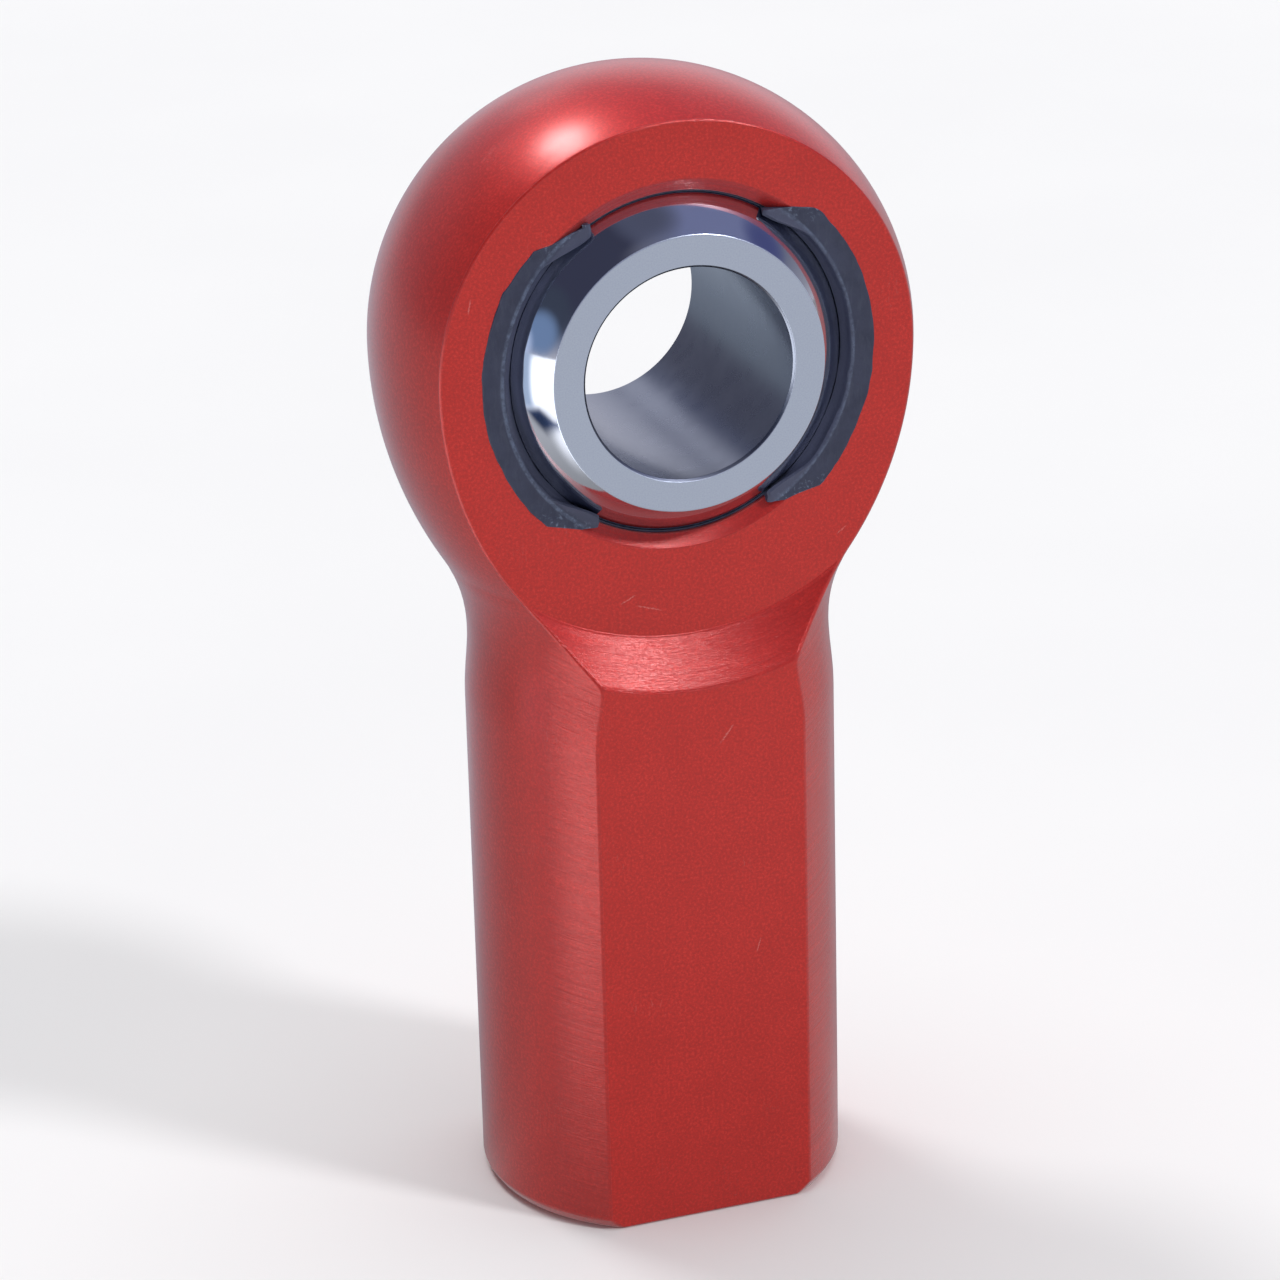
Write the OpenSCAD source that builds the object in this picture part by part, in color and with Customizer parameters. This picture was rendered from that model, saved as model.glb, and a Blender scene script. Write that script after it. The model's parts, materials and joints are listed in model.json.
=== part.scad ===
// Female rod end: a one-piece aluminium body with a ball-shaped head and a
// threaded shank, a chromed steel ball, a moulded race that fills the space
// between them and the two loading slots of the front face, and two grease
// films in the gap between ball and race.
// Origin: the centre of the ball. +Y runs along the ball's bore at rest,
// towards the back face. The front face, with the slots, looks along -Y,
// and the shank hangs down along -Z. Sizes are in millimetres.

/* [Ball] */
// Bore through the ball, diameter
bore_d = 12.7; // [12.5:0.05:12.9]
// Width of the ball between its two flat ends
ball_w = 17.1; // [16.8:0.02:17.3]
// Diameter of the ball's spherical surface
ball_d = 23.8; // [23.74:0.02:23.86]
// Edge break at each end of the bore
bore_break = 0.15; // [0.1:0.05:0.4]
// Edge break around each flat end of the ball
face_break = 0.12; // [0.06:0.02:0.24]

/* [Head] */
// Radius of the upper, spherical half of the head
head_r = 16.1; // [15.9:0.1:16.6]
// Thickness of the head between its two flat faces
head_t = 13.8; // [13.6:0.1:14.2]
// Radius of the lower flank, below the ball's centre plane
flank_r = 24; // [23.7:0.1:24.3]
// Slope at which the flank runs out into the neck, degrees
flank_angle = 32.2; // [31.9:0.1:32.5]
// Radius of the hollow between the head and the shank
neck_r = 9.9; // [9.7:0.1:10.2]

/* [Shank] */
// Diameter of the shank
shank_d = 22.4; // [22.2:0.1:22.8]
// Distance from the ball's centre to the end of the shank
length = 54; // [52:0.5:60]
// Width across the two wrench flats
flats_w = 18.2; // [17.8:0.1:18.8]
// Radius of the curved shoulder where it meets the head's flat face
shoulder_r = 16.6; // [16.4:0.1:16.8]
// Radius of the curved shoulder where it meets the wrench flat
shoulder_r2 = 19.35; // [19:0.05:19.6]
// Height of the edge break at the end of the shank
end_break = 0.7; // [0.3:0.1:1]

/* [Thread] */
// Major diameter of the internal thread
thread_d = 12.7; // [12.5:0.1:13]
// Pitch of the internal thread
thread_pitch = 1.27; // [1.25:0.01:1.5]
// Length of full thread from the end of the shank
thread_len = 30; // [22:1:30]
// Depth of the drilled hole, without its pointed bottom
drill_depth = 33.5; // [32:0.5:34]

/* [Race and slots] */
// Thickness of the moulded race between ball and body
race_t = 0.55; // [0.5:0.05:0.6]
// Radial running gap between ball and race
gap = 0.1; // [0.08:0.01:0.11]
// Half the width of the loading slots, from the ball's centre
slot_r = 12.05; // [11.95:0.05:12.1]
// Half the height of the loading slots
slot_z = 8.9; // [8.6:0.1:9.1]
// Radius of the round land where the race's edge shows
mouth_r = 10.4; // [10.38:0.02:10.5]
// Outer radius of the countersink around each mouth
sink_r = 11.15; // [11.05:0.05:11.35]
// Depth of that countersink below the flat face
sink_depth = 0.55; // [0.5:0.05:0.6]

/* [Hidden] */
$fn = 120;
// how far cutting shapes run past what they cut
over = 1;
// reach of a strip that clips a profile, beyond every radius
strip_w = 30;

// ball
ball_r = ball_d / 2;
bore_r = bore_d / 2;
half_w = ball_w / 2;
end_r = sqrt(ball_r * ball_r - half_w * half_w); // radius of the flat ends
face_break_angle = 23.3; // slope of the break around the flat ends

// head and shank
half_t = head_t / 2;
flat_y = flats_w / 2;
shank_r = shank_d / 2;
end_break_ratio = 0.7; // radial width of the end's edge break, per height
shoulder_h = 11; // depth of the cone that cuts the shoulder
flat_cut = [40, 6]; // width and depth of the block that cuts a wrench flat

// flank: an arc that leaves the head at its widest level
flank_cx = head_r - flank_r;
flank_x = flank_cx + flank_r * cos(flank_angle);
flank_z = -flank_r * sin(flank_angle);
// hollow: an arc that touches the flank and the waist
hollow_cx = flank_cx + (flank_r + neck_r) * cos(flank_angle);
hollow_cz = -(flank_r + neck_r) * sin(flank_angle);
// waist: a short cylinder, then a cone that widens to the shank
waist_r = hollow_cx - neck_r;
waist_z = hollow_cz - 1;
shank_top_z = waist_z - 4;

// race and cavity
race_in = ball_r + gap;
cavity_r = race_in + race_t;
land_y = half_t - sink_depth;
// the spherical cavity stops here, behind the lip that holds the race
lip_y = land_y - 0.2;
// cross-section that trims the lining outside the mouth
lip_cut = [4, 2];
// the crescents' inner wall flares out from here to the front face
flare_y = land_y + 0.1;
flare_r = sqrt(race_in * race_in - flare_y * flare_y);
flare_front_r = 10.6;
flare_slope = (flare_front_r - flare_r) / (half_t - flare_y);
// block that limits the height of the slots
slot_block_w = 30;

// grease films, evenly spaced in the running gap
film_t = 0.016;
film_gap = (gap - 2 * film_t) / 3;
film_y = 4; // half the width of each film

// thread
major_r = thread_d / 2;
thread_depth = 0.54127 * thread_pitch;
minor_r = major_r - thread_depth;
turns = floor(thread_len / thread_pitch);
// one groove: radius, and height as a fraction of the pitch
groove = [[minor_r, 0], [minor_r, 0.25], [major_r, 0.5625], [major_r, 0.6875]];
drill_angle = 31; // slope of the hole's pointed bottom
// 45-degree entry: how much wider than the thread it is at the shank's end,
// and how far its cutter sticks out below that end
entry_break = 0.4;
entry_over = 0.5;

// Strip beside the turning axis, between two heights: a profile cut with it
// stays on one side of that axis
module axis_strip(low, high, reach = strip_w) {
    translate([0, low]) square([reach, high - low]);
}

// Turns a profile about the ball's bore axis; its +y points to the front
module about_bore() {
    rotate([90, 0, 0]) rotate_extrude() children();
}

// Turned blank: spherical upper half, flank, hollow, waist and shank
module blank() {
    // upper half of the head
    rotate_extrude() intersection() {
        circle(r = head_r);
        axis_strip(0, head_r + over);
    }
    // flank
    rotate_extrude() intersection() {
        translate([flank_cx, 0]) circle(r = flank_r);
        axis_strip(flank_z, 0);
    }
    // neck, with the hollow taken out of it
    rotate_extrude() difference() {
        polygon([[0, flank_z], [flank_x, flank_z], [flank_x, hollow_cz], [0, hollow_cz]]);
        translate([hollow_cx, hollow_cz]) circle(r = neck_r);
    }
    // waist and shank
    rotate_extrude() polygon([
        [0, hollow_cz], [waist_r, hollow_cz], [waist_r, waist_z],
        [shank_r, shank_top_z], [shank_r, -length + end_break],
        [shank_r - end_break * end_break_ratio, -length], [0, -length]
    ]);
}

// Stock milled away from the front: the head's flat face, the curved
// shoulder below it, and the wrench flat
module side_cut() {
    slope = (shoulder_r2 - shoulder_r) / (flat_y - half_t);
    rotate([90, 0, 0]) translate([0, 0, half_t])
        cylinder(r1 = shoulder_r, r2 = shoulder_r + slope * shoulder_h, h = shoulder_h);
    translate([-flat_cut[0] / 2, -flat_y - flat_cut[1], -length - over])
        cube([flat_cut[0], flat_cut[1], length + over]);
}

// Room for the race and the ball: a sphere cut off behind two lips, a round
// opening through both faces, and the countersinks
module ball_room() {
    outside_y = half_t + over;
    about_bore() intersection() {
        circle(r = cavity_r);
        axis_strip(-lip_y, lip_y);
    }
    about_bore() axis_strip(-outside_y, outside_y, mouth_r);
    for (turn = [0, 180]) rotate([0, 0, turn]) about_bore() polygon([
        [0, land_y], [mouth_r, land_y], [sink_r, half_t], [sink_r, outside_y], [0, outside_y]
    ]);
}

// The pair of loading slots, from the ball's centre plane forward by reach
module slot_room(reach) {
    intersection() {
        rotate([90, 0, 0]) cylinder(r = slot_r, h = reach);
        translate([-slot_block_w / 2, -reach - over, -slot_z])
            cube([slot_block_w, reach + 2 * over, 2 * slot_z]);
    }
}

// Ring-shaped V grooves with the thread's real profile and pitch, the
// drilled hole with its pointed bottom, and the countersunk entry
module thread_room() {
    teeth = [for (i = [0 : turns - 1]) for (point = groove)
        [point[0], -length + (i + point[1]) * thread_pitch]];
    thread_top = -length + turns * thread_pitch;
    drill_top = -length + drill_depth;
    rotate_extrude() polygon(concat([[0, -length]], teeth, [
        [minor_r, thread_top], [minor_r, drill_top],
        [0, drill_top + minor_r * tan(drill_angle)]
    ]));
    entry_r = major_r + entry_break + entry_over;
    translate([0, 0, -length - entry_over])
        cylinder(r1 = entry_r, r2 = minor_r, h = entry_r - minor_r);
}

// One-piece body: head, neck and threaded shank with two wrench flats
module rod_body() {
    color([0.68, 0.09, 0.10]) difference() {
        blank();
        side_cut();
        mirror([0, 1, 0]) side_cut();
        ball_room();
        slot_room(half_t + 2 * over);
        thread_room();
    }
}

// Half section of the ball, beside its bore axis
module ball_section() {
    face_r = end_r - face_break;
    outer_r = ball_r + over;
    outer_y = half_w - (outer_r - face_r) * tan(face_break_angle);
    flared_r = bore_r + bore_break + over;
    difference() {
        intersection() {
            circle(r = ball_r);
            polygon([[0, half_w], [face_r, half_w], [outer_r, outer_y],
                     [outer_r, -outer_y], [face_r, -half_w], [0, -half_w]]);
        }
        // bore with its edge breaks
        polygon([
            [-over, -half_w - over], [flared_r, -half_w - over], [bore_r, -half_w + bore_break],
            [bore_r, half_w - bore_break], [flared_r, half_w + over], [-over, half_w + over]
        ]);
    }
}

// Ball with two flat ends and a through bore
module swivel_ball() {
    color([0.72, 0.74, 0.78]) about_bore() ball_section();
}

// Lining of the cavity, narrowed to the mouth beyond each lip
module race_lining() {
    about_bore() difference() {
        intersection() {
            circle(r = cavity_r);
            axis_strip(-land_y, land_y);
        }
        circle(r = race_in);
        for (low = [lip_y, -lip_y - lip_cut[1]]) translate([mouth_r, low]) square(lip_cut);
    }
}

// Crescents in the slots, with a flared inner wall
module race_crescents() {
    low = flare_y - over;
    high = half_t + over;
    difference() {
        slot_room(half_t);
        about_bore() intersection() {
            circle(r = race_in);
            axis_strip(-race_in - over, race_in + over);
        }
        about_bore() polygon([
            [0, low], [flare_r + flare_slope * (low - flare_y), low],
            [flare_r + flare_slope * (high - flare_y), high], [0, high]
        ]);
    }
}

// Race: one moulding that lines the cavity, locks behind the lips and
// fills both loading slots up to the front face
module moulded_race() {
    color([0.12, 0.13, 0.20]) {
        race_lining();
        race_crescents();
    }
}

// One thin layer of grease around the ball's equator
module film(inner_r) {
    about_bore() difference() {
        intersection() {
            circle(r = inner_r + film_t);
            axis_strip(-film_y, film_y);
        }
        circle(r = inner_r);
    }
}

// Outer layer, next to the race
module grease_film_outer() {
    color([0.55, 0.50, 0.35, 0.6]) film(ball_r + 2 * film_gap + film_t);
}

// Inner layer, next to the ball
module grease_film_inner() {
    color([0.60, 0.55, 0.38, 0.6]) film(ball_r + film_gap);
}

rod_body();
swivel_ball();
moulded_race();
grease_film_outer();
grease_film_inner();
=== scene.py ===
"""Female rod end: an anodised body, a chromed swivel ball and the moulded race between them.

The ball's centre is the origin. Its bore runs along Y, the front faces -Y, and the shank
hangs down -Z onto the floor. Meshes are built in millimetres and scaled to metres at the end.
"""
import bpy, bmesh, json, math
import numpy as np
from mathutils import Vector, Matrix, noise


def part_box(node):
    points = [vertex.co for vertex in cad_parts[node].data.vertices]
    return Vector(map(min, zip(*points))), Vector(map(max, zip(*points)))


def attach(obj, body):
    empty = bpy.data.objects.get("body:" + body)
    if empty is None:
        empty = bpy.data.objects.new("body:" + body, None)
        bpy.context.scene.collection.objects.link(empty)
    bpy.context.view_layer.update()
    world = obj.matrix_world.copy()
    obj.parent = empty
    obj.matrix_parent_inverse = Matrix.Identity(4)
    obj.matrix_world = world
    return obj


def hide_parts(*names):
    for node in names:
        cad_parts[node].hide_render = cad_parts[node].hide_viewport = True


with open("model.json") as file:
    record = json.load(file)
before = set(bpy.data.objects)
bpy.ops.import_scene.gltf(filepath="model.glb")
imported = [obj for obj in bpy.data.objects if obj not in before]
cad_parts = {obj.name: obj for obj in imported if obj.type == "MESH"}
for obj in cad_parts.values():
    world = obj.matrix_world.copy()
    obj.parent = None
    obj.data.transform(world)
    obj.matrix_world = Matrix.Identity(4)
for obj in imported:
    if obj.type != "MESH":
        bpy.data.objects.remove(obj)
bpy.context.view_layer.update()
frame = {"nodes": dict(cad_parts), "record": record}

# ---------------------------------------------------------------- sizes (mm)


def box_mm(node):
    lo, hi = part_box(node)
    return [v * 1000 for v in lo], [v * 1000 for v in hi]


BODY_LO, BODY_HI = box_mm("rod_body")
BALL_HI = box_mm("swivel_ball")[1]
RACE_LO, RACE_HI = box_mm("moulded_race")
MOUNTS = {mount["name"]: mount for mount in frame["record"]["mounts"]}

HEAD_R = BODY_HI[2]
FACE_Y = -RACE_LO[1]            # half the thickness of the head
FLAT_Y = BODY_HI[1]             # half the distance across the wrench flats
END_Z = BODY_LO[2]              # lower end of the shank
BALL_R = BALL_HI[0]
BALL_Y = BALL_HI[1]             # half the width of the ball
BORE_R = MOUNTS["ball_bore"]["dims"]["r_mm"]
CAVITY_R = RACE_HI[0]           # spherical room for the race
LAND_Y = RACE_HI[1]             # where the sloping mouth of the head ends
LIP_Y = LAND_Y - 0.3
MOUTH_R = 10.34                 # the mouth at its narrowest
SINK_R = 11.15                  # the mouth at the head's face
RACE_R = BALL_R + 0.10          # inside of the race, clear of the ball
HUG_R = BALL_R + 0.022          # inside of the race at its edges, closed on the ball
RACE_EDGE_Y = LAND_Y - 0.16

SHANK_R = 11.2
END_BREAK = 0.7                 # height of the broken edge at the shank's end
FLANK_R = 24.0                  # convex arc below the head
FLANK_ANGLE = math.radians(32.2)
NECK_R = 9.9                    # hollow arc below the flank
NECK_RISE = 0.04                # added to the radius at the bottom of the hollow
SHOULDER_R, SHOULDER_R2 = 16.6, 19.35   # cone from the head's faces out to the flats
EDGE_ROUND = 0.16

FLANK_X = HEAD_R - FLANK_R
FLANK_Z = -FLANK_R * math.sin(FLANK_ANGLE)
NECK_X = FLANK_X + (FLANK_R + NECK_R) * math.cos(FLANK_ANGLE)
NECK_Z = -(FLANK_R + NECK_R) * math.sin(FLANK_ANGLE)
WAIST_R = NECK_X - NECK_R + NECK_RISE
SWELL_TOP, SWELL_END = NECK_Z - 0.1, NECK_Z - 4.3   # waist swelling out to the shank

PITCH = 1.27
THREAD_TURNS = 24
MINOR_R = MOUNTS["shank_thread"]["dims"]["r_mm"]
MAJOR_R = MINOR_R + 0.54127 * PITCH
DRILL_DEPTH = 33.5
DRILL_POINT = math.radians(31)

# The two crescents of moulding in the head's front face, keyed by the sign of their X.
# The corner tables hold (z, x) of the outer rim where the round is cut off.
CRESCENTS = {
    -1: dict(
        top=9.15, slot_top=8.75, ridge=10.76, seed=3,
        lower=((-9.1, 6.5), (-8.6, 8.5), (-7.05, 9.9), (-6.2, 10.35)),
        upper=((5.9, 10.45), (7.1, 9.5), (8.02, 8.6), (8.2, 7.6), (8.8, 6.3), (9.1, 5.4))),
    1: dict(
        top=8.7, slot_top=8.25, ridge=10.64, seed=11,
        lower=((-9.1, 6.5), (-8.8, 7.3), (-8.5, 8.6), (-7.4, 9.75), (-6.0, 10.55)),
        upper=((6.6, 10.15), (7.9, 9.35), (8.5, 8.4), (8.7, 7.2))),
}
CRESCENT_BOTTOM = -9.1
SLOT_BOTTOM = -8.7
RIM_R = 12.05


def smoothstep(k):
    k = min(1.0, max(0.0, k))
    return k * k * (3 - 2 * k)


def outline_r(z):
    """Radius of the body's turned outline at height z."""
    if z >= 0:
        return math.sqrt(max(0.0, HEAD_R ** 2 - z * z))
    if z >= FLANK_Z:
        return FLANK_X + math.sqrt(FLANK_R ** 2 - z * z)
    if z >= NECK_Z:
        rise = NECK_RISE * (FLANK_Z - z) / (FLANK_Z - NECK_Z)
        return NECK_X - math.sqrt(NECK_R ** 2 - (z - NECK_Z) ** 2) + rise
    if z >= SWELL_TOP:
        return WAIST_R
    if z >= SWELL_END:
        k = (SWELL_TOP - z) / (SWELL_TOP - SWELL_END)
        return WAIST_R + (SHANK_R - WAIST_R) * smoothstep(k)
    if z >= END_Z + END_BREAK:
        return SHANK_R
    return SHANK_R - END_BREAK * 0.7 * (END_Z + END_BREAK - z) / END_BREAK


# ---------------------------------------------------------------- mesh helpers


def clean(bm, dist):
    """Welds points closer than dist and drops what that leaves over."""
    bmesh.ops.remove_doubles(bm, verts=bm.verts, dist=dist)
    bmesh.ops.dissolve_degenerate(bm, edges=bm.edges, dist=dist)
    loose = [v for v in bm.verts if not v.link_faces]
    bmesh.ops.delete(bm, geom=loose, context="VERTS")


class Surface:
    """Collects grids and faces in millimetres and welds them into one mesh."""

    def __init__(self):
        self.points, self.faces = [], []

    def grid(self, points, close=False):
        """Adds a sheet of quads; close joins each row's last point to its first."""
        rows, columns = points.shape[:2]
        base = len(self.points)
        self.points += [tuple(p) for p in points.reshape(-1, 3)]
        for i in range(rows - 1):
            here, below = base + i * columns, base + (i + 1) * columns
            for k in range(columns if close else columns - 1):
                k2 = (k + 1) % columns
                self.faces.append((here + k, here + k2, below + k2, below + k))

    def face(self, points):
        base = len(self.points)
        self.points += [tuple(p) for p in points]
        self.faces.append(tuple(range(base, base + len(points))))

    def to_bmesh(self, weld=1e-5):
        bm = bmesh.new()
        verts = [bm.verts.new(p) for p in self.points]
        same = 1e-7
        for face in self.faces:
            loop = []
            for i in face:
                if not loop or (verts[i].co - loop[-1].co).length > same:
                    loop.append(verts[i])
            if len(loop) > 2 and (loop[0].co - loop[-1].co).length < same:
                loop.pop()
            if len(loop) > 2:
                bm.faces.new(loop)
        clean(bm, weld)
        bmesh.ops.recalc_face_normals(bm, faces=bm.faces)
        return bm


def as_object(bm, name):
    mesh = bpy.data.meshes.new(name)
    bm.to_mesh(mesh)
    bm.free()
    obj = bpy.data.objects.new(name, mesh)
    bpy.context.scene.collection.objects.link(obj)
    return obj


def bake(obj):
    """Applies an object's modifiers to its own mesh."""
    bpy.context.view_layer.update()
    depsgraph = bpy.context.evaluated_depsgraph_get()
    mesh = bpy.data.meshes.new_from_object(
        obj.evaluated_get(depsgraph), preserve_all_data_layers=True, depsgraph=depsgraph)
    old = obj.data
    obj.modifiers.clear()
    obj.data = mesh
    bpy.data.meshes.remove(old)


def boolean(obj, other, operation):
    """Cuts the other object away or joins it on, and removes it."""
    modifier = obj.modifiers.new("cut", "BOOLEAN")
    modifier.operation = operation
    modifier.solver = "EXACT"
    modifier.object = other
    bake(obj)
    bpy.data.objects.remove(other)


def finish_mesh(obj, sharp_deg):
    """Welds and shades a mesh built in millimetres and scales it down to metres."""
    bm = bmesh.new()
    bm.from_mesh(obj.data)
    clean(bm, 2e-4)
    bm.to_mesh(obj.data)
    bm.free()
    obj.data.polygons.foreach_set("use_smooth", [True] * len(obj.data.polygons))
    obj.data.set_sharp_from_angle(angle=math.radians(sharp_deg))
    weighted = obj.modifiers.new("weighted", "WEIGHTED_NORMAL")
    weighted.keep_sharp = True
    weighted.weight = 60
    bake(obj)
    obj.data.transform(Matrix.Scale(0.001, 4))
    obj.data.update()


def ring(name, profile, segments=256):
    """Object turned about Y from a closed loop of (radius, y)."""
    loop = np.array(profile + profile[:1], float)
    turn = np.linspace(0, 2 * math.pi, segments, endpoint=False)
    points = np.zeros((len(loop), segments, 3))
    points[:, :, 0] = loop[:, 0, None] * np.cos(turn)
    points[:, :, 1] = loop[:, 1, None]
    points[:, :, 2] = loop[:, 0, None] * np.sin(turn)
    surface = Surface()
    surface.grid(points, close=True)
    return as_object(surface.to_bmesh(), name)


def mirrored(points):
    """The same (radius, y) points on the other side of y = 0, in the opposite order."""
    return [(r, -y) for r, y in points[::-1]]


def fillet(before, corner, after, radius, steps):
    """Points of an arc that rounds a corner between two neighbouring points."""
    before, corner, after = (np.array(p, float) for p in (before, corner, after))
    u = (before - corner) / np.linalg.norm(before - corner)
    w = (after - corner) / np.linalg.norm(after - corner)
    half = math.acos(max(-1, min(1, float(u @ w)))) / 2
    reach = radius / math.tan(half)
    centre = corner + (u + w) / np.linalg.norm(u + w) * radius / math.sin(half)
    start, end = corner + u * reach - centre, corner + w * reach - centre
    sweep = math.acos(max(-1, min(1, float(start @ end) / radius / radius)))
    points = []
    for i in range(steps + 1):
        k = i / steps
        spoke = (math.sin((1 - k) * sweep) * start + math.sin(k * sweep) * end) / math.sin(sweep)
        points.append(tuple(centre + spoke))
    return points


def arc(radius, start, end, steps):
    """(radius, y) points on a circle about the ball's centre between two angles above y = 0."""
    return [(radius * math.cos(t), radius * math.sin(t)) for t in np.linspace(start, end, steps + 1)]


# ---------------------------------------------------------------- rod body


def bisect(f, a, b):
    for _ in range(60):
        middle = (a + b) / 2
        if f(a) * f(middle) <= 0:
            b = middle
        else:
            a = middle
    return (a + b) / 2


def shoulder_z(y, radius, lowest=-21.0):
    """Height at which the outline, at y, lies at a distance from the bore's axis."""
    return bisect(lambda z: outline_r(z) ** 2 - y * y + z * z - radius ** 2, -11.0, lowest)


def shoulder_stations():
    """(z, y, distance from the bore's axis) down the shoulder cone, rounded into the flat."""
    slope = [(SHOULDER_R + t * (SHOULDER_R2 - SHOULDER_R), FACE_Y + t * (FLAT_Y - FACE_Y))
             for t in np.linspace(0, 0.84, 8)]
    slope += fillet((SHOULDER_R, FACE_Y), (SHOULDER_R2, FLAT_Y), (SHOULDER_R2 + 3, FLAT_Y),
                    radius=1.1, steps=7)
    return [(shoulder_z(y, r), y, r) for r, y in slope]


def side_sheet(rows, across, side):
    """Turned skin on one side of the body, cut at -y and +y by rows of (z, y)."""
    points = np.zeros((len(rows), across + 1, 3))
    for i, (z, y) in enumerate(rows):
        r = outline_r(z)
        limit = math.asin(min(1, y / r))
        turn = np.linspace(-limit, limit, across + 1)
        points[i, :, 0] = side * r * np.cos(turn)
        points[i, :, 1] = r * np.sin(turn)
        points[i, :, 2] = z
    return points


def shoulder_sheet(cone, side):
    """Conical step between a face of the head and the wrench flat below it."""
    steps = 48
    points = np.zeros((len(cone), steps + 1, 3))
    for i, (z, y, r) in enumerate(cone):
        x = math.sqrt(max(0, outline_r(z) ** 2 - y * y))
        limit = math.atan2(x, -z)
        turn = np.linspace(-limit, limit, steps + 1)
        points[i, :, 0] = r * np.sin(turn)
        points[i, :, 1] = side * y
        points[i, :, 2] = -r * np.cos(turn)
    return points


def body_shell():
    """Outer skin of the body, without the mouth and the threaded hole."""
    skin = Surface()
    across = 28
    top = 60                                # index of the dome's highest row
    limit = math.asin(FACE_Y / HEAD_R)
    tilt = np.linspace(-limit, limit, across + 1)
    turn = np.radians(np.linspace(-90, 90, 2 * top + 1))
    dome = np.zeros((len(turn), across + 1, 3))
    dome[:, :, 0] = HEAD_R * np.cos(tilt)[None, :] * np.sin(turn)[:, None]
    dome[:, :, 1] = HEAD_R * np.sin(tilt)[None, :]
    dome[:, :, 2] = HEAD_R * np.cos(tilt)[None, :] * np.cos(turn)[:, None]
    skin.grid(dome)

    cone = shoulder_stations()
    head_rows = 37
    cone_z = shoulder_z(FACE_Y, SHOULDER_R, lowest=-17.0)
    rows = [(z, FACE_Y) for z in np.linspace(0, cone_z, head_rows)]
    rows += [(z, y) for z, y, _ in cone[1:]]
    flat_start = len(rows)
    low = list(np.linspace(SWELL_TOP, SWELL_END, 25))
    low += list(np.linspace(SWELL_END, END_Z + END_BREAK, 23))[1:]
    low += [END_Z + END_BREAK / 2, END_Z]
    rows += [(z, FLAT_Y) for z in low if z < cone[-1][0] - 0.12]
    right = side_sheet(rows, across, 1)
    left = side_sheet(rows, across, -1)
    skin.grid(right)
    skin.grid(left)

    for column, side in ((0, -1), (across, 1)):
        shoulder = shoulder_sheet(cone, side)
        skin.grid(shoulder)
        # face of the head: down the right, along the shoulder, up the left
        skin.face([*dome[top:, column], *right[1:head_rows, column], *shoulder[0, ::-1][1:],
                   *left[1:head_rows - 1, column][::-1], *dome[:top, column]])
        # wrench flat
        skin.face([*shoulder[-1], *right[flat_start:, column],
                   *left[flat_start:, column][::-1]])
    # end face
    skin.face([*right[-1], *left[-1][::-1]])
    return skin.to_bmesh(weld=1e-4)


def room_cutter():
    """Spherical room for the race with a sloping mouth at either face."""
    clear = 0.13
    front = [(0.0, FACE_Y + 1.6), (SINK_R + clear, FACE_Y + 1.6), (SINK_R + clear, FACE_Y + 0.0006)]
    front += fillet((SINK_R + 1.5, FACE_Y), (SINK_R, FACE_Y), (MOUTH_R, LAND_Y),
                    radius=0.38, steps=5)
    front += fillet((SINK_R, FACE_Y), (MOUTH_R, LAND_Y), (MOUTH_R, LIP_Y), radius=0.10, steps=3)
    front += [(MOUTH_R, LIP_Y + 0.001)]
    angle = math.asin(LIP_Y / CAVITY_R)
    return ring("cut_room", front + arc(CAVITY_R, angle, -angle, 28) + mirrored(front))


def rim_x(side, z, slow, quick):
    """Outer rim of a crescent at height z: a round that runs into cut-off corners.
    slow and quick are irregularities of about -1 to 1."""
    r = RIM_R + 0.10 * slow + 0.05 * quick
    x = math.sqrt(max(0.01, r * r - z * z))
    lower, upper = CRESCENTS[side]["lower"], CRESCENTS[side]["upper"]
    if z > upper[0][0] or z < lower[-1][0]:
        heights, widths = zip(*lower, *upper)
        x = min(x, float(np.interp(z, heights, widths)) + 0.05 * quick)
    return x


def slot_cutter(side):
    """Room in the body under one crescent, kept a little inside its rim."""
    inset, inner_x = 0.28, 3.0
    top = CRESCENTS[side]["slot_top"]
    outline = [(side * (rim_x(side, z, slow=0, quick=0) - inset), z)
               for z in np.linspace(SLOT_BOTTOM, top, 48)]
    outline += [(side * inner_x, top), (side * inner_x, SLOT_BOTTOM)]
    front = [(x, -FACE_Y - 1.5, z) for x, z in outline]
    middle = [(x, 0.0, z) for x, z in outline]
    surface = Surface()
    surface.grid(np.array([front, middle]), close=True)
    surface.face(front)
    surface.face(middle)
    return as_object(surface.to_bmesh(), "cut_slot")


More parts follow.
